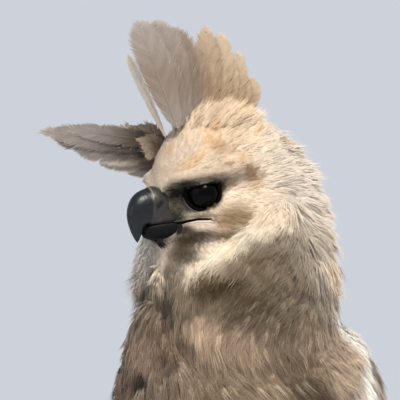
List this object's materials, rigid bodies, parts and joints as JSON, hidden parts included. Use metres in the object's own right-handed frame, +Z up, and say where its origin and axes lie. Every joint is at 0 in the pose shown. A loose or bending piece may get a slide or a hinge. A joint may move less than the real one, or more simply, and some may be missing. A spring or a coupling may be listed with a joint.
{
  "type": "harpy eagle model",
  "caption": "Life-size young harpy eagle standing upright with its crest blown up and its head turned to its right, as a still display model.",
  "frame": {"origin": "the middle of the bounding box's underside, on the floor under the bird", "axes": "+Z up, the body faces -Y, the bird's left side is +X"},
  "size_m": [0.3126, 0.5406, 0.9389],
  "materials": {
    "down_white": "matt, downy",
    "neck_grey": "matt, downy",
    "breast_buff": "matt, downy",
    "wing_grey": "matt, smooth feathers",
    "tail_grey": "matt, smooth feathers",
    "crest_grey": "matt, smooth feathers",
    "bill_horn": "satin horn",
    "eye_dark": "wet gloss",
    "leg_yellow": "matt, scaly",
    "claw_black": "satin horn"
  },
  "bodies": {
    "root": {"bill_lower": "bill_horn", "bill_upper": "bill_horn", "claw_left_hind": "claw_black", "claw_left_inner": "claw_black", "claw_left_middle": "claw_black", "claw_left_outer": "claw_black", "claw_right_hind": "claw_black", "claw_right_inner": "claw_black", "claw_right_middle": "claw_black", "claw_right_outer": "claw_black", "crest_left": "crest_grey", "crest_right": "crest_grey", "eye_left": "eye_dark", "eye_right": "eye_dark", "head": "down_white", "neck": "neck_grey", "shank_left": "leg_yellow", "shank_right": "leg_yellow", "tail": "tail_grey", "thigh_left": "breast_buff", "thigh_right": "breast_buff", "toe_left_hind": "leg_yellow", "toe_left_inner": "leg_yellow", "toe_left_middle": "leg_yellow", "toe_left_outer": "leg_yellow", "toe_right_hind": "leg_yellow", "toe_right_inner": "leg_yellow", "toe_right_middle": "leg_yellow", "toe_right_outer": "leg_yellow", "torso": "breast_buff", "wing_left": "wing_grey", "wing_right": "wing_grey"}
  },
  "joints": []
}
